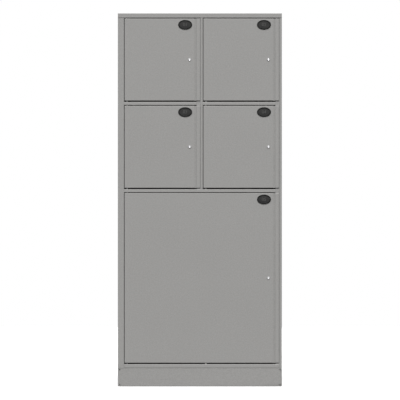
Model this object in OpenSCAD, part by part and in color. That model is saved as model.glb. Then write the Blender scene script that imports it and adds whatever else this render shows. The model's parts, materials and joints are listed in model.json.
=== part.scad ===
// Parcel locker: a free-standing sheet-steel cabinet on a closed base, with four small
// compartments over one large one. Each door turns on pivot pins near its left edge and
// has a numbered oval plate and a cam lock at its latch edge.
// Frame: +Z up, front towards -Y, origin on the floor at the middle of the footprint.

/* [Cabinet] */
// Width over the side panels
cabinet_w = 914; // [760:1:1120]
// Height from the floor to the top panel
cabinet_h = 2080; // [1720:1:2520]
// Depth from the front frame to the back flanges
cabinet_d = 610; // [400:1:760]
// Height of the base under the body
base_h = 103; // [70:1:180]
// How far the base's front and back stand behind the frame's face
base_set_back = 1.5; // [0:0.5:12]
// Thickness of the side, back, top, shelf and divider sheet
sheet_t = 1.2; // [0.8:0.1:1.5]

/* [Front frame] */
// Thickness of the frame and base sheet
frame_t = 1.5; // [1:0.1:2]
// Depth of the frame members
frame_d = 30; // [27:0.5:50]
// Outer radius of the frame's bends
frame_r = 2.5; // [2.1:0.1:3.5]
// Face width of the left stile
stile_w = 34.5; // [28:0.5:60]
// Face width of the mullion between the two columns
mullion_face_w = 13; // [8:0.5:30]
// Face width of the right stile
right_face_w = 14; // [12:0.5:40]
// Width of the strike lip behind a door's latch edge
strike_w = 21.5; // [18:0.5:24]
// Face height of the top rail
top_rail_h = 25.5; // [16:0.5:50]
// Face height of the rails between doors
rail_h = 18; // [15:0.5:40]
// Face height of the bottom rail
bottom_rail_h = 21.5; // [16:0.5:50]
// Height of a small compartment's opening
small_open_h = 468.5; // [300:0.5:600]
// Gap between the top rail and the stiles under it
frame_seam = 0.8; // [0.2:0.1:2]

/* [Doors] */
// Thickness of the door skin
door_t = 1.5; // [1:0.1:2]
// Depth of the door pan
door_d = 18; // [15:0.5:22]
// Outer radius of the door's bends
door_r = 2.5; // [2.1:0.1:3.5]
// Width of the lip round the back of the pan
door_lip = 13.5; // [8:0.5:16]
// Gap between a door and the frame beside its pivots
hinge_gap = 2.5; // [2.4:0.1:8]
// Gap between a door and the frame at its latch edge
latch_gap = 2.2; // [1:0.1:4]
// Gap below a door
gap_below = 7; // [4:0.1:9]
// Gap above a door
gap_above = 3.5; // [3:0.1:8]
// Distance from a door's latch edge to its crease, where the pan ends and the lap begins
crease_inset = 24; // [24:0.5:40]
// Width of the crease's long slope, towards the pivots
crease_long_w = 10; // [4:0.5:16]
// Width of its short slope, towards the latch edge
crease_short_w = 4; // [2:0.5:8]
// Depth of the crease
crease_depth = 3; // [0.4:0.1:3]

/* [Pivots] */
// Distance from a door's left edge to its pivot axis
pivot_inset = 14.5; // [10:0.5:15]
// Diameter of the pivot pins
pin_dia = 5; // [4:0.5:6.5]
// How far a pin reaches into the door
pin_reach = 10; // [6:0.5:14]
// Diameter of the pin's collar
collar_dia = 8; // [7:0.5:12]
// Thickness of the bush's flange
bush_flange_t = 1.7; // [1:0.1:2]
// Wall of the nylon bush
bush_wall = 1.5; // [1:0.1:2.5]
// Clearance between the door's bush and the pin's collar
seat_clearance = 0.3; // [0.2:0.1:0.6]

/* [Lock] */
// Distance from the latch edge to the lock's axis
lock_inset = 58.5; // [50:0.5:75]
// Diameter of the lock's flange
lock_flange_dia = 17; // [16:0.5:24]
// How far the lock stands in front of the door
lock_proud = 3.6; // [2.5:0.1:6]
// Diameter of the lock's barrel
barrel_dia = 14; // [12:0.5:16]
// Diameter of the turning plug
plug_dia = 10; // [8:0.5:11]
// Width across the flats of the barrel's nut
nut_flats = 19; // [18:0.5:24]
// Thickness of the barrel's nut
nut_t = 5; // [3:0.5:7]
// Length of the cam from the lock's axis
cam_reach = 49; // [45:0.5:54]
// Width of the cam
cam_w = 16; // [12:0.5:20]
// Thickness of the cam
cam_t = 2.5; // [1.5:0.1:4]
// Clearance between the cam and the strike lip
cam_clearance = 1; // [0.6:0.1:3]

/* [Number plates] */
// Width of the oval plate
plate_w = 78; // [60:1:100]
// Height of the oval plate
plate_h = 53; // [40:1:58]
// Distance from the door's top edge to the plate's middle
plate_drop = 34.5; // [32:0.5:60]
// Distance from the door's latch edge to the plate's middle
plate_inset = 83.5; // [70:0.5:120]
// Thickness of the plate's face
plate_t = 2.4; // [1.5:0.1:4]
// Width of the raised rim
plate_rim_w = 6; // [3:0.5:10]
// Height of the rim over the face
plate_rim_h = 1.6; // [0.5:0.1:3]

/* [Fixings] */
// Diameter of the floor anchor holes
anchor_dia = 11; // [8:0.5:14]
// Distance from the side panel to an anchor hole
anchor_inset = 80; // [60:1:140]
// Diameter of the wall fixing holes
wall_hole_dia = 9; // [6:0.5:12]
// Distance between the two wall fixing holes
wall_hole_pitch = 600; // [300:1:700]
// Distance from the top of the cabinet to the wall fixing holes
wall_hole_drop = 70; // [50:1:120]

/* [Hidden] */

$fn = 48;
paint = "#9a9997";
steel = "#b9bcbf";
nylon = "#d8d6cf";
black = "#2b2a28";

// Small clearance between round fits, on the radius
fit = 0.05;
// Overshoot of a cut past the face it opens
over = 1;
// Flat steps in a quarter-turn bend
bend_steps = 5;

// Places across the front, measured from the left side panel
door_w = (cabinet_w - stile_w - mullion_face_w - right_face_w - 2 * hinge_gap - 2 * latch_gap) / 2;
column_pitch = door_w + latch_gap + mullion_face_w + hinge_gap;
function door_x(column) = stile_w + hinge_gap + column * column_pitch;
function pivot_x(column) = door_x(column) + pivot_inset;
mullion_x = door_x(0) + door_w + latch_gap;
right_face_x = cabinet_w - right_face_w;

// Heights of the openings, from the floor
row_pitch = small_open_h + rail_h;
top_open_z = cabinet_h - top_rail_h;
function rail_z(row) = top_open_z - (row + 1) * row_pitch;
floor_z = base_h + bottom_rail_h;
small_door_h = small_open_h - gap_below - gap_above;
large_door_w = door_w + column_pitch;
large_door_h = rail_z(1) - floor_z - gap_below - gap_above;

// Each door: column of its pivot, height of its lower edge, width, height
DOORS = [
    [0, rail_z(0) + rail_h + gap_below, door_w, small_door_h],
    [1, rail_z(0) + rail_h + gap_below, door_w, small_door_h],
    [0, rail_z(1) + rail_h + gap_below, door_w, small_door_h],
    [1, rail_z(1) + rail_h + gap_below, door_w, small_door_h],
    [0, floor_z + gap_below, large_door_w, large_door_h]
];

// Depths, measured back from the front face
bumper_clearance = 0.3;
bumper_t = 1.7;
lap_t = 2 * door_t;
strike_y = lap_t + bumper_t + bumper_clearance;
cam_y = strike_y + frame_t + cam_clearance;
pivot_y = door_d / 2;
rail_d = frame_d + sheet_t;
side_front_flange = 12;
side_back_flange = 18;
back_y = cabinet_d - 2 * sheet_t;
side_r = 1.8;
shelf_flange = 12;
top_flange = 20;

// Base corners
base_r = 2.5;
base_flange = 30;
base_hem = 5.5;
base_seam = 0.5;
anchor_y = 18;
drain_dia = 6.5;
drain_inset = 10.5;
drain_rise = 9.5;

// Lock details
nut_clearance = 0.05;
keyway_w = 1.4;
keyway_h = 7;
keyway_depth = 5;
cam_slot_clearance = 1.2;
tang_w = 6;
cam_tip_r = 3;
washer_dia = 11;
washer_t = 1;
screw_dia = 4;
screw_head_dia = 8;
screw_head_t = 2.4;
screw_depth = 6;

// Plate pins
plate_pin_dia = 4;
plate_pin_spread = 44;
plate_pin_clip_dia = 7;
plate_pin_clip_t = 1.5;
plate_steps = 64;

// Door 5's stiffener
stiffener_w = 44;
stiffener_flange = 14;
stiffener_d = 13;

// Door bumpers
bumper_dia = 9;
bumper_end = 60;
bumper_inset = 7;

// ---------------------------------------------------------------- helpers

// Points of a right-angled corner at p, rounded by r; q points to the arc's centre
function corner(p, q, r, start) =
    r <= 0 ? [p] :
    [for (i = [0 : bend_steps])
        let (angle = start + 90 * i / bend_steps)
        p + r * q + r * [cos(angle), sin(angle)]];

// Rectangle from a to b with radii for its low-left, low-right, high-right, high-left corners
function outline(a, b, r) = concat(
    corner(a, [1, 1], r[0], 180),
    corner([b.x, a.y], [-1, 1], r[1], 270),
    corner(b, [-1, -1], r[2], 0),
    corner([a.x, b.y], [1, -1], r[3], 90)
);

// Oval of width w and height h
function oval(w, h) =
    [for (i = [0 : plate_steps - 1])
        let (angle = 360 * i / plate_steps)
        [w / 2 * cos(angle), h / 2 * sin(angle)]];

// Moves from cabinet corner coordinates (left, front, floor) to the part's own frame
module placed() { translate([-cabinet_w / 2, -cabinet_d / 2, 0]) children(); }

// Extrudes a profile drawn in (y, z) along x, from x0 to x1
module along_x(x0, x1) {
    translate([x0, 0, 0]) rotate([90, 0, 90]) linear_extrude(x1 - x0) children();
}

// Extrudes a profile drawn in (x, y) upwards, from z0 to z1
module upright(z0, z1) { translate([0, 0, z0]) linear_extrude(z1 - z0) children(); }

// A round bar along +y from y0 to y1
module round_y(r, y0, y1) { translate([0, y0, 0]) rotate([-90, 0, 0]) cylinder(r = r, h = y1 - y0); }

// A rectangular tray from a to b, open below, of sheet t
module tray(a, b, t) {
    difference() {
        translate(a) cube(b - a);
        translate(a + [t, t, -over]) cube(b - a - [2 * t, 2 * t, t - over]);
    }
}

// ---------------------------------------------------------------- cabinet shell

// One side panel, drawn for the left side
module side_sheet() {
    inner_r = side_r - sheet_t;
    upright(base_h, cabinet_h) {
        difference() {
            polygon(outline([0, frame_d], [side_front_flange, cabinet_d], [side_r, 0, 0, side_r]));
            polygon(outline([sheet_t, frame_d + sheet_t], [side_front_flange + over, cabinet_d - sheet_t],
                [inner_r, 0, 0, inner_r]));
        }
        translate([side_front_flange, cabinet_d - sheet_t])
            square([side_back_flange - side_front_flange, sheet_t]);
    }
}

module side_panel_left() { color(paint) placed() side_sheet(); }

module side_panel_right() { color(paint) mirror([1, 0, 0]) placed() side_sheet(); }

module back_panel() {
    color(paint) placed() difference() {
        translate([side_r, back_y, base_h]) cube([cabinet_w - 2 * side_r, sheet_t, cabinet_h - base_h]);
        for (side = [-1, 1])
            translate([cabinet_w / 2 + side * wall_hole_pitch / 2, 0, cabinet_h - wall_hole_drop])
                round_y(wall_hole_dia / 2, back_y - over, cabinet_d);
    }
}

// The top is a tray between the sides, with rounded upper edges that leave a fine groove
module top_panel() {
    x0 = sheet_t;
    x1 = cabinet_w - sheet_t;
    z0 = cabinet_h - top_flange;
    color(paint) placed() difference() {
        intersection() {
            along_x(x0, x1) polygon(outline([rail_d, z0], [back_y, cabinet_h], [0, 0, side_r, side_r]));
            translate([0, back_y, 0]) rotate([90, 0, 0]) linear_extrude(back_y - rail_d)
                polygon(outline([x0, z0], [x1, cabinet_h], [0, 0, side_r, side_r]));
        }
        translate([x0 + sheet_t, rail_d + sheet_t, z0 - over])
            cube([x1 - x0 - 2 * sheet_t, back_y - rail_d - 2 * sheet_t, top_flange - sheet_t + over]);
    }
}

module floor_panel() {
    color(paint) placed()
        tray([sheet_t, rail_d, base_h], [cabinet_w - sheet_t, back_y, floor_z], sheet_t);
}

module shelf_middle() {
    z = rail_z(1) + rail_h;
    color(paint) placed()
        tray([sheet_t, rail_d, z - shelf_flange], [cabinet_w - sheet_t, back_y, z], sheet_t);
}

// The divider stands against the mullion's right leg and begins behind the doors
divider_x = mullion_x + mullion_face_w - frame_t - sheet_t;
divider_set_back = 1.5;
divider_y = door_d + divider_set_back;
divider_flange = 15;

module center_divider() {
    z0 = rail_z(1) + rail_h;
    z1 = cabinet_h - top_flange;
    color(paint) placed() {
        translate([divider_x, divider_y, z0]) cube([sheet_t, rail_d - divider_y, top_open_z - z0]);
        translate([divider_x, rail_d, z0]) cube([sheet_t, back_y - rail_d, z1 - z0]);
        translate([divider_x, back_y - sheet_t, z0]) cube([divider_flange, sheet_t, z1 - z0]);
    }
}

module shelf_upper_left() {
    z = rail_z(0) + rail_h;
    color(paint) placed() tray([sheet_t, rail_d, z - shelf_flange], [divider_x, back_y, z], sheet_t);
}

// This shelf is shorter by the divider's flange at its back
module shelf_upper_right() {
    z = rail_z(0) + rail_h;
    color(paint) placed()
        tray([divider_x + sheet_t, rail_d, z - shelf_flange],
            [cabinet_w - sheet_t, back_y - sheet_t, z], sheet_t);
}

// ---------------------------------------------------------------- front frame

inner_r = frame_r - frame_t;

// A channel in (y, z) with its face at the front, open at the back, from z0 to z1
module rail_profile(z0, z1, depth) {
    difference() {
        polygon(outline([0, z0], [depth, z1], [frame_r, 0, 0, frame_r]));
        polygon(outline([frame_t, z0 + frame_t], [depth + over, z1 - frame_t], [inner_r, 0, 0, inner_r]));
    }
}

// Holes for the pivot pins, through every flange from z0 to z1
module pin_holes(columns, z0, z1) {
    for (c = columns)
        translate([pivot_x(c), pivot_y, z0]) cylinder(r = pin_dia / 2 + fit, h = z1 - z0);
}

// The two flanges of a rail, carried on behind the strike lip from x0 to x1
module rail_tongue(x0, x1, z0) {
    for (z = [z0, z0 + rail_h - frame_t])
        translate([x0 - over, strike_y + frame_t, z])
            cube([x1 - x0 + over, frame_d - strike_y - frame_t, frame_t]);
}

// A rail between doors, from x0 to x1, with tongues on to x2
module rail(x0, x1, x2, row, columns) {
    z = rail_z(row);
    color(paint) placed() difference() {
        union() {
            along_x(x0, x1) rail_profile(z, z + rail_h, rail_d);
            rail_tongue(x1, x2, z);
        }
        pin_holes(columns, z - over, z + rail_h + over);
    }
}

module rail_upper_left() { rail(stile_w, mullion_x - strike_w, divider_x, 0, [0]); }

module rail_upper_right() {
    rail(door_x(1) - hinge_gap, right_face_x - strike_w, cabinet_w - frame_t, 0, [1]);
}

module rail_middle() { rail(stile_w, right_face_x - strike_w, cabinet_w - frame_t, 1, [0, 1]); }

// The block that the top rail is bent round, taken in by inset, out to back
module top_rail_block(inset, back) {
    r = frame_r - inset;
    z0 = top_open_z + inset;
    z1 = cabinet_h - inset;
    intersection() {
        along_x(inset, cabinet_w - inset) polygon(outline([inset, z0], [back, z1], [r, 0, 0, r]));
        upright(z0, z1) polygon(outline([inset, inset], [cabinet_w - inset, back], [r, r, 0, 0]));
    }
}

// The top rail has closed ends over the stiles; between them its flanges reach the top panel
module rail_top() {
    color(paint) placed() difference() {
        union() {
            top_rail_block(0, frame_d);
            for (z = [top_open_z, cabinet_h - frame_t])
                translate([stile_w, frame_d - over, z])
                    cube([right_face_x - stile_w, rail_d - frame_d + over, frame_t]);
        }
        top_rail_block(frame_t, rail_d + over);
        pin_holes([0, 1], top_open_z - over, cabinet_h - frame_t - over);
    }
}

module rail_bottom() {
    color(paint) placed() difference() {
        along_x(stile_w, right_face_x) rail_profile(base_h, floor_z, rail_d);
        pin_holes([0, 1], base_h + frame_t + over, floor_z + over);
    }
}

stile_top = top_open_z - frame_seam;

module stile_left() {
    color(paint) placed() {
        upright(base_h, stile_top) difference() {
            polygon(outline([0, 0], [stile_w, frame_d], [frame_r, frame_r, 0, 0]));
            polygon(outline([frame_t, frame_t], [stile_w - frame_t, frame_d + over],
                [inner_r, inner_r, 0, 0]));
        }
        stile_cap(0, stile_w);
    }
}

// The tab bent over a stile's top end, from x0 to x1
module stile_cap(x0, x1) {
    upright(stile_top - frame_t, stile_top)
        polygon(outline([x0, 0], [x1, frame_d], [frame_r, frame_r, 0, 0]));
}

// Face and side legs of an upright with a strike; the left leg stops at the lip
module latch_profile(x0, x1) {
    difference() {
        polygon(outline([x0, 0], [x1, frame_d], [frame_r, frame_r, 0, 0]));
        polygon(outline([x0 + frame_t, frame_t], [x1 - frame_t, frame_d + over], [inner_r, inner_r, 0, 0]));
        translate([x0 - over, strike_y + frame_t]) square([frame_t + 2 * over, frame_d]);
    }
}

module strike_lip(x0) {
    translate([x0 - strike_w, strike_y]) square([strike_w + frame_t, frame_t]);
}

module mullion() {
    color(paint) placed() upright(rail_z(1) + rail_h, top_open_z) {
        latch_profile(mullion_x, mullion_x + mullion_face_w);
        strike_lip(mullion_x);
    }
}

module stile_right() {
    color(paint) placed() {
        upright(base_h, stile_top) latch_profile(right_face_x, cabinet_w);
        upright(floor_z, stile_top) strike_lip(right_face_x);
        stile_cap(right_face_x, cabinet_w);
    }
}

// ---------------------------------------------------------------- base

// The front and back channels fit between the hems of the side channels. Each has a drain hole
// near each corner of its face and an anchor hole near each end of its lower flange
module base_channel() {
    x0 = base_hem + base_seam;
    x1 = cabinet_w - x0;
    inner = base_r - frame_t;
    translate([0, base_set_back, 0]) difference() {
        along_x(x0, x1) difference() {
            polygon(outline([0, 0], [base_flange, base_h], [base_r, 0, 0, base_r]));
            polygon(outline([frame_t, frame_t], [base_flange + over, base_h - frame_t],
                [inner, 0, 0, inner]));
        }
        for (x = [drain_inset, cabinet_w - drain_inset], z = [drain_rise, base_h - drain_rise])
            translate([x, 0, z]) round_y(drain_dia / 2, -over, frame_t + over);
        for (x = [anchor_inset, cabinet_w - anchor_inset])
            translate([x, anchor_y, -over]) cylinder(d = anchor_dia, h = frame_t + 2 * over);
    }
}

module base_front() { color(paint) placed() base_channel(); }

module base_back() { color(paint) mirror([0, 1, 0]) placed() base_channel(); }

// One side channel, drawn for the left side, with a hem at each end
module base_side() {
    inner = frame_r - frame_t;
    y0 = base_set_back;
    y1 = cabinet_d - base_set_back;
    upright(0, base_h) difference() {
        polygon(outline([0, y0], [base_hem, y1], [frame_r, 0, 0, frame_r]));
        polygon(outline([frame_t, y0 + frame_t], [base_hem + over, y1 - frame_t], [inner, 0, 0, inner]));
    }
    for (z = [0, base_h - frame_t])
        translate([frame_t - sheet_t / 2, y0 + base_flange, z])
            cube([base_flange - frame_t, y1 - y0 - 2 * base_flange, frame_t]);
}

module base_left() { color(paint) placed() base_side(); }

module base_right() { color(paint) mirror([1, 0, 0]) placed() base_side(); }

// ---------------------------------------------------------------- pivots and stops

// Heights of a pin's collars, under a door that stands on it and over a door that it guides
lower_collar_t = gap_below - bush_flange_t - seat_clearance;
upper_collar_t = gap_above - bush_flange_t - seat_clearance;

// A pin through a rail's flanges, from z0 to z1, reaching into the door over or under the rail
module pivot_pin(column, z0, z1, door_over, door_under) {
    low = door_under ? z0 - gap_above - pin_reach : z0;
    high = door_over ? z1 + gap_below + pin_reach : z1;
    translate([pivot_x(column), pivot_y, 0]) {
        translate([0, 0, low]) cylinder(d = pin_dia, h = high - low);
        if (door_over) translate([0, 0, z1]) cylinder(d = collar_dia, h = lower_collar_t);
        if (door_under) translate([0, 0, z0 - upper_collar_t]) cylinder(d = collar_dia, h = upper_collar_t);
    }
}

module pivot_pins() {
    color(steel) placed() {
        for (column = [0, 1]) {
            pivot_pin(column, top_open_z, top_open_z + frame_t, false, true);
            pivot_pin(column, rail_z(0), rail_z(0) + rail_h, true, true);
            pivot_pin(column, rail_z(1), rail_z(1) + rail_h, true, column == 0);
        }
        pivot_pin(0, floor_z - frame_t, floor_z, true, false);
    }
}

// The pad in the bottom rail's spare pivot hole carries the wide door's free half
module door_glide() {
    color(nylon) placed() translate([pivot_x(1), pivot_y, 0]) {
        translate([0, 0, floor_z]) cylinder(d = collar_dia, h = gap_below - seat_clearance);
        translate([0, 0, floor_z - 2 * frame_t]) cylinder(d = pin_dia, h = 2 * frame_t + over);
    }
}

// Rubber bumpers on the strike lips, behind each door's latch edge
module door_bumpers() {
    color(black) placed()
        for (d = DOORS)
            for (z = [d[1] + bumper_end, d[1] + d[3] - bumper_end])
                translate([door_x(d[0]) + d[2] - bumper_inset, 0, z])
                    round_y(bumper_dia / 2, strike_y - bumper_t, strike_y);
}

// ---------------------------------------------------------------- doors

// Moves to door i's lower left front corner
module at_door(i) {
    placed() translate([door_x(DOORS[i][0]), 0, DOORS[i][1]]) children();
}

// Right side of a door's pan, under the crease
function pan_right(w) = w - crease_inset + door_t / 2;

// A door's crease as a lopsided V in (x, y), its mouth at y0
module crease(w, y0) {
    x = w - crease_inset;
    polygon([[x - crease_long_w, y0], [x + crease_short_w, y0], [x, y0 + crease_depth]]);
}

// Section of a door in (x, y): the pan's outside, and beside it the hemmed lap, whose back
// follows the crease
module door_outside(w) {
    lap_r = min(door_r, lap_t / 2);
    difference() {
        union() {
            polygon(outline([0, 0], [pan_right(w), door_d], [door_r, 0, 0, 0]));
            polygon(outline([pan_right(w) - door_t, 0], [w, lap_t], [0, lap_r, lap_r, 0]));
            crease(w, lap_t);
        }
        crease(w, 0);
    }
}

module door_inside(w) {
    difference() {
        polygon(outline([door_t, door_t], [pan_right(w) - door_t, door_d - door_t],
            [door_r - door_t, 0, 0, 0]));
        crease(w, door_t);
    }
}

// A block with a section in (x, y), and the bends of a door's top and bottom taken in by inset
module door_block(w, h, inset) {
    r = door_r - inset;
    intersection() {
        upright(inset, h - inset) children();
        along_x(0, w) polygon(outline([inset, inset], [door_d - inset, h - inset], [r, 0, 0, r]));
    }
}

module door_pan(w, h) {
    difference() {
        door_block(w, h, 0) door_outside(w);
        door_block(w, h, door_t) door_inside(w);
        translate([door_lip, door_d - door_t - over, door_lip])
            cube([pan_right(w) - 2 * door_lip, door_t + 2 * over, h - 2 * door_lip]);
        translate([pivot_inset, pivot_y, -over]) cylinder(r = bush_r + fit, h = h + 2 * over);
        translate([w - lock_inset, 0, h / 2]) round_y(barrel_dia / 2 + fit, -over, door_t + over);
        for (side = [-1, 1])
            translate([w - plate_inset + side * plate_pin_spread / 2, 0, h - plate_drop])
                round_y(plate_pin_dia / 2 + fit, -over, door_t + over);
        cam_slot(w, h);
    }
}

// The slot in the pan's side that lets the cam swing out behind the strike lip
module cam_slot(w, h) {
    top = cam_w / 2 + cam_slot_clearance;
    translate([pan_right(w) - door_t - over, cam_y - cam_slot_clearance, h / 2 - cam_reach])
        cube([door_t + 2 * over, cam_t + 2 * cam_slot_clearance, cam_reach + top]);
}

module door(i) { color(paint) at_door(i) door_pan(DOORS[i][2], DOORS[i][3]); }

// A hat section down the middle of the wide door, welded to the back of its skin
module door_5_stiffener() {
    w = DOORS[4][2];
    half = stiffener_w / 2;
    color(paint) at_door(4) translate([w / 2, 0, 0]) upright(2 * door_t, DOORS[4][3] - 2 * door_t) {
        difference() {
            polygon(outline([-half, door_t], [half, door_t + stiffener_d], [0, 0, frame_r, frame_r]));
            polygon(outline([sheet_t - half, door_t - over],
                [half - sheet_t, door_t + stiffener_d - sheet_t],
                [0, 0, frame_r - sheet_t, frame_r - sheet_t]));
        }
        for (x = [-half - stiffener_flange, half - sheet_t])
            translate([x, door_t]) square([stiffener_flange + sheet_t, sheet_t]);
    }
}

bush_r = pin_dia / 2 + fit + bush_wall;
bush_flange_r = max(collar_dia / 2, bush_r) + bush_wall / 2;

// A flanged bush, its flange below and its shank upwards
module bush() {
    difference() {
        union() {
            translate([0, 0, -bush_flange_t]) cylinder(r = bush_flange_r, h = bush_flange_t);
            cylinder(r = bush_r, h = pin_reach + over);
        }
        translate([0, 0, -bush_flange_t - over])
            cylinder(r = pin_dia / 2 + fit, h = bush_flange_t + pin_reach + 3 * over);
    }
}

module pivot_bushes(i) {
    color(nylon) at_door(i) translate([pivot_inset, pivot_y, 0]) {
        bush();
        translate([0, 0, DOORS[i][3]]) mirror([0, 0, 1]) bush();
    }
}

// ---------------------------------------------------------------- number plates

// An oval plate with a raised rim and two pins through the door, each with a push-on clip
module number_plate(i) {
    w = DOORS[i][2];
    h = DOORS[i][3];
    color(black) at_door(i) translate([w - plate_inset, 0, h - plate_drop]) {
        rotate([90, 0, 0]) difference() {
            linear_extrude(plate_t + plate_rim_h) polygon(oval(plate_w, plate_h));
            translate([0, 0, plate_t]) linear_extrude(plate_rim_h + over)
                polygon(oval(plate_w - 2 * plate_rim_w, plate_h - 2 * plate_rim_w));
        }
        for (side = [-1, 1]) translate([side * plate_pin_spread / 2, 0, 0]) {
            round_y(plate_pin_dia / 2, -over, door_t + plate_pin_clip_t + over);
            round_y(plate_pin_clip_dia / 2, door_t, door_t + plate_pin_clip_t);
        }
    }
}

// ---------------------------------------------------------------- locks

// Moves to lock i's axis at the door's front face
module at_lock(i) { at_door(i) translate([DOORS[i][2] - lock_inset, 0, DOORS[i][3] / 2]) children(); }

barrel_end = cam_y - seat_clearance;
plug_face = lock_proud - 0.2;

// A domed flange on a threaded barrel, bored for the plug
module lock_barrel(i) {
    dome_r = lock_flange_dia / 2;
    rim = lock_proud / 2;
    color(steel) at_lock(i) rotate([-90, 0, 0]) difference() {
        union() {
            rotate_extrude() polygon(concat(
                [[0, 0], [dome_r, 0]],
                [for (a = [0 : 15 : 90])
                    [dome_r - (lock_proud - rim) * (1 - cos(a)), -rim - (lock_proud - rim) * sin(a)]],
                [[0, -lock_proud]]));
            cylinder(d = barrel_dia, h = barrel_end);
        }
        translate([0, 0, -lock_proud - over])
            cylinder(r = plug_dia / 2 + fit, h = lock_proud + barrel_end + 2 * over);
    }
}

module lock_nut(i) {
    color(steel) at_lock(i) translate([0, door_t, 0]) rotate([-90, 0, 0]) difference() {
        cylinder(r = nut_flats / 2 / cos(30), h = nut_t, $fn = 6);
        translate([0, 0, -over]) cylinder(r = barrel_dia / 2 + nut_clearance, h = nut_t + 2 * over);
    }
}

// The plug turns in the barrel; its keyway stands upright, and its tang carries the cam
module lock_plug(i) {
    color(steel) at_lock(i) difference() {
        union() {
            round_y(plug_dia / 2, -plug_face, cam_y);
            translate([-tang_w / 2, cam_y - over, -tang_w / 2]) cube([tang_w, cam_t + over, tang_w]);
        }
        translate([-keyway_w / 2, -plug_face - over, -keyway_h / 2])
            cube([keyway_w, keyway_depth + over, keyway_h]);
        round_y(screw_dia / 2 + fit, cam_y + cam_t - screw_depth, cam_y + cam_t + over);
    }
}

// The cam hangs down when unlocked; its screw and washer hold it on the tang
module lock_cam(i) {
    hole = tang_w + 2 * fit;
    back = cam_y + cam_t;
    color(steel) at_lock(i) {
        difference() {
            translate([0, back, 0]) rotate([90, 0, 0]) linear_extrude(cam_t) {
                circle(d = cam_w);
                polygon(outline([-cam_w / 2, -cam_reach], [cam_w / 2, 0], [cam_tip_r, cam_tip_r, 0, 0]));
            }
            translate([-hole / 2, cam_y - over, -hole / 2]) cube([hole, cam_t + 2 * over, hole]);
        }
        round_y(washer_dia / 2, back, back + washer_t);
        round_y(screw_head_dia / 2, back, back + washer_t + screw_head_t);
        round_y(screw_dia / 2, back - screw_depth + over, back + over / 2);
    }
}

// ---------------------------------------------------------------- nodes

side_panel_left();
side_panel_right();
back_panel();
top_panel();
floor_panel();
center_divider();
shelf_upper_left();
shelf_upper_right();
shelf_middle();
stile_left();
stile_right();
mullion();
rail_top();
rail_upper_left();
rail_upper_right();
rail_middle();
rail_bottom();
base_front();
base_back();
base_left();
base_right();
pivot_pins();
door_bumpers();
door_glide();
door_5_stiffener();
for (i = [0 : len(DOORS) - 1]) {
    door(i);
    number_plate(i);
    pivot_bushes(i);
    lock_barrel(i);
    lock_nut(i);
    lock_plug(i);
    lock_cam(i);
}
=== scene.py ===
import json
import math

import bmesh
import bpy
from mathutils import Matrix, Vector


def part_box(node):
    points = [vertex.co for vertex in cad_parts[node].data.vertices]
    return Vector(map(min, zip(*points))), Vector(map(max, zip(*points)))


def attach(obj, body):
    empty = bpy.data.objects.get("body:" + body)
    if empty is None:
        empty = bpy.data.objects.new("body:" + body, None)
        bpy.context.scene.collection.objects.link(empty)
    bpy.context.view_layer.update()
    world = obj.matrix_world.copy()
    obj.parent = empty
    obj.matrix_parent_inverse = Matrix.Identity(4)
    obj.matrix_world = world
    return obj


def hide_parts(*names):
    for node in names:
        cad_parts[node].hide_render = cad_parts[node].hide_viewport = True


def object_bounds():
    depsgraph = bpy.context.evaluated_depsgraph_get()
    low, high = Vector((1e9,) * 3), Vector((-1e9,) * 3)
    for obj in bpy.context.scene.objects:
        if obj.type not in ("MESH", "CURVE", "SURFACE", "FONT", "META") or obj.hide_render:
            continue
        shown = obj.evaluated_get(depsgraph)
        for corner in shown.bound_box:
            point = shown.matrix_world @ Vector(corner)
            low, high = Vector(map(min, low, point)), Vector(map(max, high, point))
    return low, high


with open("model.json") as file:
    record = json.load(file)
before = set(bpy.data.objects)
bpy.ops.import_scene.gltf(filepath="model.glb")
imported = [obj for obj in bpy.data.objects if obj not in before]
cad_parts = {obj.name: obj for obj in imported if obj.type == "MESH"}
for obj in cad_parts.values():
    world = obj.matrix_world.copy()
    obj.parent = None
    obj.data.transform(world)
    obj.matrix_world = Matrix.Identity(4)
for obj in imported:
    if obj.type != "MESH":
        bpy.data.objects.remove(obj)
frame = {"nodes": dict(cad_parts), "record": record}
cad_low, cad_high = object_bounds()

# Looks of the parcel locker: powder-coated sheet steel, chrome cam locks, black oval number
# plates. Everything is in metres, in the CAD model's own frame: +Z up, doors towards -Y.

MM = 0.001
DOORS = range(1, 6)

# The plane of the doors' faces, and the thickness of the sheet behind it
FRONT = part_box("door_1")[0].y
SKIN = 1.5 * MM


# ---------------------------------------------------------------- material helpers

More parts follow.
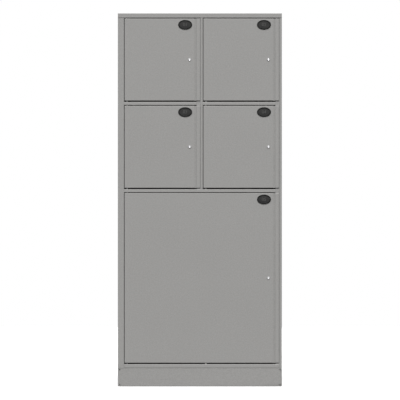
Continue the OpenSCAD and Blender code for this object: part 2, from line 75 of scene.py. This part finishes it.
class Shader:
    """A material with one Principled shader and short ways to add nodes to it."""

    def __init__(self, name, roughness, metallic=0.0, color=(0.5, 0.5, 0.5)):
        self.material = bpy.data.materials.new(name)
        self.material.use_nodes = True
        self.tree = self.material.node_tree
        self.shader = self.tree.nodes["Principled BSDF"]
        self.shader.inputs["Base Color"].default_value = (*color, 1)
        self.shader.inputs["Roughness"].default_value = roughness
        self.shader.inputs["Metallic"].default_value = metallic
        self.place = self.tree.nodes.new("ShaderNodeTexCoord").outputs["Object"]

    def link(self, source, target):
        self.tree.links.new(source, target)

    def stretched(self, x, y, z):
        """The place scaled along each axis, so that a texture on it is drawn out."""
        node = self.tree.nodes.new("ShaderNodeVectorMath")
        node.operation = "MULTIPLY"
        node.inputs[1].default_value = (x, y, z)
        self.link(self.place, node.inputs[0])
        return node.outputs["Vector"]

    def noise(self, scale, detail, place=None):
        """Soft random spots, about 1/scale metres wide."""
        node = self.tree.nodes.new("ShaderNodeTexNoise")
        node.inputs["Scale"].default_value = scale
        node.inputs["Detail"].default_value = detail
        self.link(place or self.place, node.inputs["Vector"])
        return node.outputs["Fac"]

    def cells(self, scale):
        """Small pits, about 1/scale metres wide, each growing from 0 at its middle."""
        node = self.tree.nodes.new("ShaderNodeTexVoronoi")
        node.inputs["Scale"].default_value = scale
        self.link(self.place, node.inputs["Vector"])
        return node.outputs["Distance"]

    def spread(self, source, low, high, to_low=0.0, to_high=1.0):
        """Maps source from low..high to to_low..to_high, and holds it in that range."""
        node = self.tree.nodes.new("ShaderNodeMapRange")
        node.inputs["From Min"].default_value = low
        node.inputs["From Max"].default_value = high
        node.inputs["To Min"].default_value = to_low
        node.inputs["To Max"].default_value = to_high
        self.link(source, node.inputs["Value"])
        return node.outputs["Result"]

    def math(self, operation, a, b):
        """a and b combined. Each is a number or a socket."""
        node = self.tree.nodes.new("ShaderNodeMath")
        node.operation = operation
        for socket, value in zip(node.inputs, (a, b)):
            if isinstance(value, (int, float)):
                socket.default_value = value
            else:
                self.link(value, socket)
        return node.outputs["Value"]

    def mix(self, share, a, b):
        """Colour a, going to b as share goes from 0 to 1. Each is a colour or a socket."""
        node = self.tree.nodes.new("ShaderNodeMix")
        node.data_type = "RGBA"
        self.link(share, node.inputs["Factor"])
        colour_inputs = [s for s in node.inputs if s.type == "RGBA"]
        for socket, value in zip(colour_inputs, (a, b)):
            if isinstance(value, tuple):
                socket.default_value = (*value, 1)
            else:
                self.link(value, socket)
        return next(s for s in node.outputs if s.type == "RGBA")

    def bump(self, height, depth, strength, under=None):
        """A normal for heights of 0 to 1 that are depth metres apart, on top of the bump under."""
        node = self.tree.nodes.new("ShaderNodeBump")
        node.inputs["Strength"].default_value = strength
        node.inputs["Distance"].default_value = depth
        self.link(height, node.inputs["Height"])
        if under:
            self.link(under, node.inputs["Normal"])
        return node.outputs["Normal"]

    def facing_up(self):
        """How far the surface faces up, from -1 to 1."""
        node = self.tree.nodes.new("ShaderNodeSeparateXYZ")
        geometry = self.tree.nodes.new("ShaderNodeNewGeometry")
        self.link(geometry.outputs["Normal"], node.inputs["Vector"])
        return node.outputs["Z"]

    def height(self):
        """Height above the floor, in metres."""
        node = self.tree.nodes.new("ShaderNodeSeparateXYZ")
        self.link(self.place, node.inputs["Vector"])
        return node.outputs["Z"]

    def edge(self, radius):
        """1 within radius of a sharp edge, 0 on flats."""
        bevel = self.tree.nodes.new("ShaderNodeBevel")
        bevel.samples = 4
        bevel.inputs["Radius"].default_value = radius
        geometry = self.tree.nodes.new("ShaderNodeNewGeometry")
        dot = self.tree.nodes.new("ShaderNodeVectorMath")
        dot.operation = "DOT_PRODUCT"
        self.link(bevel.outputs["Normal"], dot.inputs[0])
        self.link(geometry.outputs["Normal"], dot.inputs[1])
        return self.spread(dot.outputs["Value"], 0.99, 0.8)

    def set(self, socket, source):
        """Feeds one of the shader's own sockets."""
        self.link(source, self.shader.inputs[socket])


# ---------------------------------------------------------------- materials

def powder_coat():
    """Grey powder coat on slightly wavy sheet: fine grain, mottle, clouds and orange peel, with
    rubbed edges, scuffs near the floor and dust on the tops."""
    shade = (0.2, 0.1973, 0.192)
    s = Shader("powder_coat", roughness=0.5)
    s.shader.inputs["Specular IOR Level"].default_value = 0.4
    broad = s.spread(s.noise(3.5, 4), 0.3, 0.7)
    grain = s.spread(s.noise(650, 2), 0.3, 0.7)
    mottle = s.spread(s.noise(190, 2), 0.34, 0.66)
    clouds = s.spread(s.noise(85, 2), 0.3, 0.7)
    colour = s.mix(broad, (0.295, 0.2912, 0.2834), (0.303, 0.299, 0.2911))
    colour = s.mix(s.math("MULTIPLY", mottle, 0.42), colour, shade)
    colour = s.mix(s.math("MULTIPLY", clouds, 0.18), colour, shade)
    colour = s.mix(s.math("MULTIPLY", grain, 0.25), colour, (0.225, 0.222, 0.216))
    scuffs = s.spread(s.noise(9, 8, s.stretched(0.35, 0.35, 5)), 0.6, 0.72)
    low_scuffs = s.math("MULTIPLY", scuffs, s.spread(s.height(), 0.1, 0.0))
    colour = s.mix(s.math("MULTIPLY", low_scuffs, 0.35), colour, (0.15, 0.146, 0.14))
    tops = s.spread(s.facing_up(), 0.8, 1.0)
    dust = s.math("MULTIPLY", tops, s.spread(s.noise(14, 6), 0.35, 0.75))
    colour = s.mix(s.math("MULTIPLY", dust, 0.3), colour, (0.36, 0.352, 0.335))
    rubbed = s.math("MULTIPLY", s.edge(0.5 * MM), s.spread(s.noise(38, 5), 0.5, 0.7))
    colour = s.mix(s.math("MULTIPLY", rubbed, 0.5), colour, (0.36, 0.36, 0.36))
    s.set("Base Color", colour)
    rough = s.spread(s.noise(22, 5), 0.3, 0.7, 0.44, 0.56)
    s.set("Roughness", s.math("SUBTRACT", rough, s.math("MULTIPLY", rubbed, 0.12)))
    waves = s.bump(s.noise(2.2, 1), 0.9 * MM, 0.5)
    peel = s.bump(s.noise(240, 2), 0.05 * MM, 0.6, waves)
    s.set("Normal", s.bump(s.noise(1100, 2), 0.035 * MM, 0.8, peel))
    return s.material


def chrome():
    """Bright nickel-chrome with hair scratches and a faint haze."""
    s = Shader("lock_chrome", roughness=0.1, metallic=1.0, color=(0.82, 0.82, 0.83))
    scratches = s.noise(900, 4, s.stretched(0.2, 1, 1.4))
    haze = s.noise(160, 4)
    s.set("Roughness", s.math("ADD", s.spread(haze, 0.35, 0.7, 0.07, 0.16),
                              s.spread(scratches, 0.6, 0.75, 0.0, 0.12)))
    s.set("Base Color",
          s.mix(s.spread(haze, 0.3, 0.7), (0.83, 0.83, 0.84), (0.74, 0.74, 0.755)))
    s.set("Normal", s.bump(scratches, 0.01 * MM, 0.4))
    return s.material


def zinc():
    """Dull zinc plate with small crystals and rolling marks."""
    s = Shader("zinc", roughness=0.35, metallic=1.0, color=(0.6, 0.61, 0.63))
    spangle = s.cells(420)
    marks = s.noise(300, 5, s.stretched(1, 1, 0.1))
    s.set("Base Color",
          s.mix(s.spread(spangle, 0.1, 0.7), (0.66, 0.665, 0.68), (0.5, 0.505, 0.52)))
    s.set("Roughness", s.spread(marks, 0.3, 0.7, 0.28, 0.48))
    s.set("Normal", s.bump(marks, 0.03 * MM, 0.5))
    return s.material


def nylon():
    """Natural nylon, a little cloudy, with tool marks."""
    s = Shader("nylon", roughness=0.42, color=(0.62, 0.61, 0.57))
    cloud = s.noise(120, 3)
    s.set("Base Color",
          s.mix(s.spread(cloud, 0.3, 0.7), (0.64, 0.63, 0.585), (0.55, 0.54, 0.5)))
    s.set("Roughness", s.spread(s.noise(300, 3), 0.3, 0.7, 0.36, 0.5))
    s.set("Normal", s.bump(s.noise(700, 3), 0.03 * MM, 0.5))
    return s.material


def rubber():
    """Matt black rubber with bloom and a pebbled skin."""
    s = Shader("rubber", roughness=0.85, color=(0.03, 0.03, 0.03))
    bloom = s.noise(90, 5)
    s.set("Base Color",
          s.mix(s.spread(bloom, 0.4, 0.8), (0.022, 0.022, 0.022), (0.055, 0.054, 0.052)))
    s.set("Roughness", s.spread(bloom, 0.3, 0.7, 0.78, 0.92))
    s.set("Normal", s.bump(s.cells(900), 0.06 * MM, 0.6))
    return s.material


def moulded_plastic(name, dark, light, rough_low, rough_high, grain_depth):
    """Moulded plastic with a spark-eroded grain, a slight bloom and fine rub marks."""
    s = Shader(name, roughness=rough_high, color=dark)
    s.shader.inputs["Specular IOR Level"].default_value = 0.24
    bloom = s.noise(60, 5)
    rubs = s.noise(240, 6, s.stretched(0.25, 1, 1))
    s.set("Base Color", s.mix(s.spread(bloom, 0.3, 0.75), dark, light))
    s.set("Roughness", s.spread(rubs, 0.35, 0.7, rough_low, rough_high))
    s.set("Normal", s.bump(s.cells(1400), grain_depth, 0.7))
    return s.material


PAINT = powder_coat()
CHROME = chrome()
ZINC = zinc()
NYLON = nylon()
RUBBER = rubber()
BEZEL = moulded_plastic("plate_bezel", (0.004, 0.004, 0.004), (0.007, 0.007, 0.0068),
                        0.45, 0.6, 0.02 * MM)
FACE = moulded_plastic("plate_face", (0.018, 0.0178, 0.0174), (0.028, 0.0276, 0.0268),
                       0.55, 0.72, 0.04 * MM)
DIGIT = moulded_plastic("plate_digit", (0.062, 0.062, 0.06), (0.085, 0.085, 0.083),
                        0.5, 0.65, 0.02 * MM)
SLOT_MATERIALS = {"powder_coat": PAINT, "lock_chrome": CHROME, "zinc": ZINC, "nylon": NYLON,
                  "rubber": RUBBER, "plate": BEZEL}


# ---------------------------------------------------------------- mesh helpers

def add_object(name, mesh, material, body):
    """Puts a mesh into the scene as a named piece on a CAD body."""
    piece = bpy.data.objects.new(name, mesh)
    bpy.context.scene.collection.objects.link(piece)
    mesh.materials.append(material)
    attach(piece, body)
    return piece


def smooth(mesh, angle=30):
    """Smooth shading with creases kept sharper than angle, in degrees."""
    for polygon in mesh.polygons:
        polygon.use_smooth = True
    mesh.set_sharp_from_angle(angle=math.radians(angle))


def round_edges(piece, width):
    """Breaks sharp edges with a narrow rounded bevel."""
    modifier = piece.modifiers.new("round_edges", "BEVEL")
    modifier.width = width
    modifier.segments = 2
    modifier.limit_method = "ANGLE"
    modifier.angle_limit = math.radians(40)
    modifier.harden_normals = True


def ring_points(half_w, half_h, y, steps):
    """Points round an oval in a plane of constant y."""
    turns = (2 * math.pi * k / steps for k in range(steps))
    return [Vector((half_w * math.cos(a), y, half_h * math.sin(a))) for a in turns]


def loft(bm, rings, centre, capped=False):
    """Skins rings of points round centre, all with as many points, and may cap both ends."""
    rows = [[bm.verts.new(centre + p) for p in ring] for ring in rings]
    count = len(rows[0])
    for row, following in zip(rows, rows[1:]):
        for k in range(count):
            after = (k + 1) % count
            bm.faces.new((row[k], row[after], following[after], following[k]))
    if capped:
        bm.faces.new(rows[0][::-1])
        bm.faces.new(rows[-1])


def round_rings(profile, steps):
    """Rings for a turned part, from (radius, y) pairs."""
    return [ring_points(radius, radius, y, steps) for radius, y in profile]


def add_bmesh(name, bm, material, body, angle=30):
    """Adds a bmesh as a piece, with outward faces and smooth shading."""
    bmesh.ops.recalc_face_normals(bm, faces=bm.faces)
    mesh = bpy.data.meshes.new(name)
    bm.to_mesh(mesh)
    bm.free()
    smooth(mesh, angle)
    return add_object(name, mesh, material, body)


def arc(centre_r, centre_y, radius, start, end, steps):
    """(radius, y) pairs along an arc, angles in degrees, 0 outwards and 90 to the front."""
    angles = (math.radians(start + (end - start) * k / steps) for k in range(steps + 1))
    return [(centre_r + radius * math.cos(a), centre_y - radius * math.sin(a)) for a in angles]


# ---------------------------------------------------------------- CAD nodes

EDGE_WIDTHS = {"powder_coat": 0.3 * MM, "lock_chrome": 0.25 * MM, "zinc": 0.3 * MM,
               "nylon": 0.3 * MM, "rubber": 0.5 * MM, "plate": 0.3 * MM}


def dress_cad_nodes():
    """Gives every CAD node its material, smooth bends and slightly rounded edges."""
    slots = {row["node"]: row["material_slot"] for row in frame["record"]["subparts"]}
    for name, piece in frame["nodes"].items():
        slot = slots[name]
        piece.data.materials.clear()
        piece.data.materials.append(SLOT_MATERIALS[slot])
        smooth(piece.data)
        round_edges(piece, EDGE_WIDTHS[slot])


# ---------------------------------------------------------------- number plates

# Points round the oval, the rim's width and its roundings, the gap inside it, how far the face
# stands off the door at its edge and rises from there to its middle, the bands of that dome,
# and how far each pin is from the middle
PLATE_STEPS = 96
RIM_W = 6 * MM
RIM_ROUND = 1.4 * MM
RIM_INNER_ROUND = 1 * MM
FACE_GAP = 0.4 * MM
FACE_T = 2.4 * MM
FACE_CROWN = 0.5 * MM
FACE_BANDS = 8
PIN_ASIDE = 22 * MM


def plate_rings(half_w, half_h, profile):
    """Oval rings from (inset, y) pairs."""
    return [ring_points(half_w - inset, half_h - inset, y, PLATE_STEPS) for inset, y in profile]


def number_plate(i):
    """An oval bezel, a shallow domed face, a raised number and the pins behind."""
    low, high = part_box(f"number_plate_{i}")
    half_w, half_h = (high.x - low.x) / 2, (high.z - low.z) / 2
    centre = Vector(((low.x + high.x) / 2, FRONT, (low.z + high.z) / 2))
    body = f"leaf_{i}"
    add_plate_bezel(i, half_w, half_h, FRONT - low.y, centre, body)
    add_plate_face(i, half_w - RIM_W - FACE_GAP, half_h - RIM_W - FACE_GAP, centre, body)
    add_digit(i, centre + Vector((0, -FACE_T - FACE_CROWN - 0.05 * MM, 0)), body)
    add_plate_pins(i, centre, body)


def add_plate_bezel(i, half_w, half_h, proud, centre, body):
    """The rim, rounded outside and inside, and standing proud metres off the door."""
    chamfer = 0.3 * MM
    rim = [(chamfer, 0.0), (0, -chamfer), (0, RIM_ROUND - proud)]
    outer = arc(0, RIM_ROUND - proud, RIM_ROUND, 0, 90, 5)
    rim += [(RIM_ROUND - r, y) for r, y in outer[1:]]
    inner = arc(0, RIM_INNER_ROUND - proud, RIM_INNER_ROUND, 90, 0, 4)
    rim += [(RIM_W - RIM_INNER_ROUND + r, y) for r, y in inner]
    seat = RIM_W + 0.3 * MM
    rim += [(seat, -FACE_T + 0.2 * MM), (seat, 0.0)]
    bm = bmesh.new()
    loft(bm, plate_rings(half_w, half_h, rim + rim[:1]), centre)
    bmesh.ops.remove_doubles(bm, verts=bm.verts, dist=1e-6)
    bezel = add_bmesh(f"plate_bezel_{i}", bm, BEZEL, body)
    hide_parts(f"number_plate_{i}")


def add_plate_face(i, half_w, half_h, centre, body):
    """The face inside the rim, crowned towards its middle."""
    rings = [ring_points(half_w, half_h, -0.4 * MM, PLATE_STEPS)]
    for k in range(FACE_BANDS):
        share = 1 - k / FACE_BANDS
        y = -FACE_T - FACE_CROWN * (1 - share ** 2)
        rings.append(ring_points(half_w * share, half_h * share, y, PLATE_STEPS))
    bm = bmesh.new()
    loft(bm, rings, centre, capped=True)
    add_bmesh(f"plate_face_{i}", bm, FACE, body)


def add_digit(i, centre, body):
    """The compartment's number in raised plastic, centred on the plate."""
    text = bpy.data.curves.new(f"digit_text_{i}", "FONT")
    text.body = f"0{i}"
    text.size = 25 * MM
    text.extrude = 0.45 * MM
    text.bevel_depth = 0.12 * MM
    text.bevel_resolution = 2
    text.align_x = "CENTER"
    text.align_y = "CENTER"
    shape = bpy.data.objects.new(f"digit_shape_{i}", text)
    bpy.context.scene.collection.objects.link(shape)
    bpy.context.view_layer.update()
    evaluated = shape.evaluated_get(bpy.context.evaluated_depsgraph_get())
    mesh = bpy.data.meshes.new_from_object(evaluated)
    bpy.data.objects.remove(shape)
    tops = [v.co.y for v in mesh.vertices]
    middle = (max(tops) + min(tops)) / 2
    for vertex in mesh.vertices:
        x, y, z = vertex.co
        vertex.co = centre + Vector((x, -z, y - middle))
    smooth(mesh)
    add_object(f"plate_digit_{i}", mesh, DIGIT, body)


def add_plate_pins(i, centre, body):
    """The plate's two pins behind the door skin, each with a dished push-on nut."""
    bm = bmesh.new()
    for side in (-1, 1):
        place = centre + Vector((side * PIN_ASIDE, 0, 0))
        pin = [(2 * MM, 0), (2 * MM, 3.4 * MM), (1.6 * MM, 3.9 * MM), (0.2 * MM, 4 * MM)]
        loft(bm, round_rings(pin, 20), place, capped=True)
        nut = [(1.95 * MM, SKIN + 1.3 * MM), (2.3 * MM, SKIN + 1.5 * MM),
               (3.4 * MM, SKIN + 0.6 * MM), (3.5 * MM, SKIN), (1.95 * MM, SKIN)]
        loft(bm, round_rings(nut + nut[:1], 20), place)
    bmesh.ops.remove_doubles(bm, verts=bm.verts, dist=1e-6)
    add_bmesh(f"plate_pins_{i}", bm, ZINC, body)


# ---------------------------------------------------------------- locks

# Radii of the bore for the plug and of the barrel outside, and the sizes of flange and thread
BORE_R = 5.05 * MM
BARREL_R = 7 * MM
FLANGE_FILLET = 0.5 * MM
THREAD_PITCH = 1 * MM
THREAD_DEPTH = 0.45 * MM


def lock_barrel(i):
    """A turned barrel: a bevelled flange in front, rounded towards the plug, a thread behind."""
    low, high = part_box(f"lock_barrel_{i}")
    centre = Vector(((low.x + high.x) / 2, FRONT, (low.z + high.z) / 2))
    profile = flange_profile((high.x - low.x) / 2, FRONT - low.y)
    profile += thread_profile(high.y - FRONT)
    bm = bmesh.new()
    loft(bm, round_rings(profile + profile[:1], 64), centre)
    bmesh.ops.remove_doubles(bm, verts=bm.verts, dist=1e-7)
    body = f"leaf_{i}"
    piece = add_bmesh(f"lock_body_{i}", bm, CHROME, body, 35)
    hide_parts(f"lock_barrel_{i}")


def flange_profile(flange_r, proud):
    """(radius, y) pairs from the bore over the flange, which stands proud metres off the door."""
    face_r = BORE_R + 0.8 * MM
    fillet = FLANGE_FILLET
    profile = [(BORE_R, -proud + 0.5 * MM), (BORE_R + 0.25 * MM, -proud + 0.15 * MM),
               (BORE_R + 0.5 * MM, -proud)]
    profile += arc(face_r, fillet - proud, fillet, 90, 45, 3)
    profile += arc(flange_r - fillet, flange_r - face_r - proud, fillet, 45, 0, 3)
    return profile + [(flange_r, -0.5 * MM), (flange_r - 0.35 * MM, 0.0)]


def thread_profile(length):
    """(radius, y) pairs from the flange along the thread, and back to the bore at its end."""
    root_r = BARREL_R - THREAD_DEPTH
    end_r = BARREL_R - 0.3 * MM
    turns = int((length - SKIN - 1 * MM) / THREAD_PITCH)
    profile = [(BARREL_R, 0.0)]
    for k in range(turns):
        start = SKIN + k * THREAD_PITCH
        profile += [(BARREL_R, start), (BARREL_R, start + 0.15 * THREAD_PITCH),
                    (root_r, start + 0.5 * THREAD_PITCH), (root_r, start + 0.65 * THREAD_PITCH)]
    return profile + [(end_r, SKIN + turns * THREAD_PITCH), (end_r, length - 0.4 * MM),
                      (BARREL_R - 0.7 * MM, length), (BORE_R, length)]


# ---------------------------------------------------------------- spot welds

def weld_dimples(name, places, body):
    """Shallow marks of spot welds that face the back, each a low ring with a flat middle."""
    bm = bmesh.new()
    turn = Vector((0, -1, 0)).rotation_difference(Vector((0, 1, 0)))
    profile = [(3.1 * MM, 0.02 * MM), (2.9 * MM, -0.16 * MM), (2.5 * MM, -0.22 * MM),
               (2.1 * MM, -0.1 * MM), (0.4 * MM, -0.08 * MM)]
    rings = [[turn @ p for p in ring] for ring in round_rings(profile, 24)]
    for place in places:
        loft(bm, rings, place, capped=True)
    add_bmesh(name, bm, PAINT, body, 60)


def spaced(start, end, pitch):
    """Evenly spaced values from start to end, about pitch apart."""
    count = max(2, round((end - start) / pitch) + 1)
    return [start + (end - start) * k / (count - 1) for k in range(count)]


def add_spot_welds():
    """Welds down both back flanges and down both flanges of the wide door's stiffener."""
    pitch = 90 * MM
    side_low, side_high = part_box("side_panel_left")
    inset = 9 * MM
    heights = spaced(side_low.z + 40 * MM, side_high.z - 40 * MM, pitch)
    for name, x in (("left", side_low.x + inset), ("right", -side_low.x - inset)):
        places = [Vector((x, side_high.y, z)) for z in heights]
        weld_dimples(f"back_welds_{name}", places, "cabinet")
    hat_low, hat_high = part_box("door_5_stiffener")
    inset = 7 * MM
    flange_y = hat_low.y + 1.2 * MM
    heights = spaced(hat_low.z + 30 * MM, hat_high.z - 30 * MM, pitch)
    places = [Vector((x, flange_y, z)) for x in (hat_low.x + inset, hat_high.x - inset)
              for z in heights]
    weld_dimples("stiffener_welds", places, "leaf_5")


# ---------------------------------------------------------------- stage, lights, camera

# Strength of the sky at the horizon and straight above, of the key light, of the weak light in
# front and of each of the two behind
SKY_LOW = 0.12
SKY_HIGH = 0.85
KEY_LIGHT = 4.1
FRONT_LIGHT = 0.1
RIM_LIGHT = 0.9

# Half the floor's width, in metres
FLOOR_REACH = 4

# Share of the picture's height that the cabinet fills, and how far the camera stands to the
# right of the middle and below half height
FILL = 0.9332
CAMERA_ASIDE = 0.75 * MM
CAMERA_LOWER = 0.45 * MM


def make_floor():
    """A plain pale floor, which takes shadows but casts no light back."""
    mesh = bpy.data.meshes.new("floor")
    reach = FLOOR_REACH
    corners = [(-reach, -reach, 0), (reach, -reach, 0), (reach, reach, 0), (-reach, reach, 0)]
    mesh.from_pydata(corners, [], [(0, 1, 2, 3)])
    floor = bpy.data.objects.new("floor", mesh)
    bpy.context.scene.collection.objects.link(floor)
    paint = Shader("floor_paint", roughness=0.9, color=(0.9, 0.9, 0.9))
    paint.shader.inputs["Specular IOR Level"].default_value = 0.1
    mesh.materials.append(paint.material)
    floor.visible_diffuse = False
    floor.visible_glossy = False
    floor.visible_shadow = False


def make_world():
    """Soft light, brightest from overhead and faint from the horizon, and a white background."""
    world = bpy.data.worlds.new("studio")
    bpy.context.scene.world = world
    world.use_nodes = True
    nodes, links = world.node_tree.nodes, world.node_tree.links
    nodes.clear()
    direction = nodes.new("ShaderNodeTexCoord")
    split = nodes.new("ShaderNodeSeparateXYZ")
    links.new(direction.outputs["Generated"], split.inputs["Vector"])
    rise = nodes.new("ShaderNodeMapRange")
    rise.inputs["From Min"].default_value = -0.1
    rise.inputs["From Max"].default_value = 1
    rise.inputs["To Min"].default_value = SKY_LOW
    rise.inputs["To Max"].default_value = SKY_HIGH
    links.new(split.outputs["Z"], rise.inputs["Value"])
    lighting = nodes.new("ShaderNodeBackground")
    links.new(rise.outputs["Result"], lighting.inputs["Strength"])
    backdrop = nodes.new("ShaderNodeBackground")
    seen = nodes.new("ShaderNodeLightPath")
    choose = nodes.new("ShaderNodeMixShader")
    output = nodes.new("ShaderNodeOutputWorld")
    for background in (lighting, backdrop):
        background.inputs["Color"].default_value = (1, 1, 1, 1)
    links.new(seen.outputs["Is Camera Ray"], choose.inputs["Fac"])
    links.new(lighting.outputs["Background"], choose.inputs[1])
    links.new(backdrop.outputs["Background"], choose.inputs[2])
    links.new(choose.outputs["Shader"], output.inputs["Surface"])


def make_sun(name, strength, elevation, azimuth, softness):
    """A soft distant light. Azimuth 0 comes from the front, and positive from the right."""
    light = bpy.data.lights.new(name, "SUN")
    light.energy = strength
    light.angle = math.radians(softness)
    sun = bpy.data.objects.new(name, light)
    bpy.context.scene.collection.objects.link(sun)
    e, a = math.radians(elevation), math.radians(azimuth)
    towards = Vector((math.sin(a) * math.cos(e), -math.cos(a) * math.cos(e), math.sin(e)))
    sun.rotation_mode = "QUATERNION"
    sun.rotation_quaternion = towards.to_track_quat("Z", "Y")


def make_camera():
    """Square on to the front, at about half height, with a long lens."""
    camera_data = bpy.data.cameras.new("camera")
    camera_data.lens = 150
    camera_data.sensor_width = 36
    middle = (cad_low.z + cad_high.z) / 2 - CAMERA_LOWER
    view = (cad_high.z - cad_low.z) / FILL
    distance = view * camera_data.lens / camera_data.sensor_width
    camera = bpy.data.objects.new("camera", camera_data)
    camera.location = (CAMERA_ASIDE, FRONT - distance, middle)
    camera.rotation_euler = (math.pi / 2, 0, 0)
    camera_data.clip_end = 200
    bpy.context.scene.collection.objects.link(camera)
    bpy.context.scene.camera = camera


make_camera()
make_floor()
make_world()
make_sun("key", KEY_LIGHT, 50, 0, 30)
make_sun("front", FRONT_LIGHT, 3, 0, 20)
make_sun("rim_left", RIM_LIGHT, 30, -128, 40)
make_sun("rim_right", RIM_LIGHT, 30, 122, 40)
bpy.context.scene.view_settings.view_transform = "Standard"

dress_cad_nodes()
for door in DOORS:
    number_plate(door)
    lock_barrel(door)
add_spot_welds()
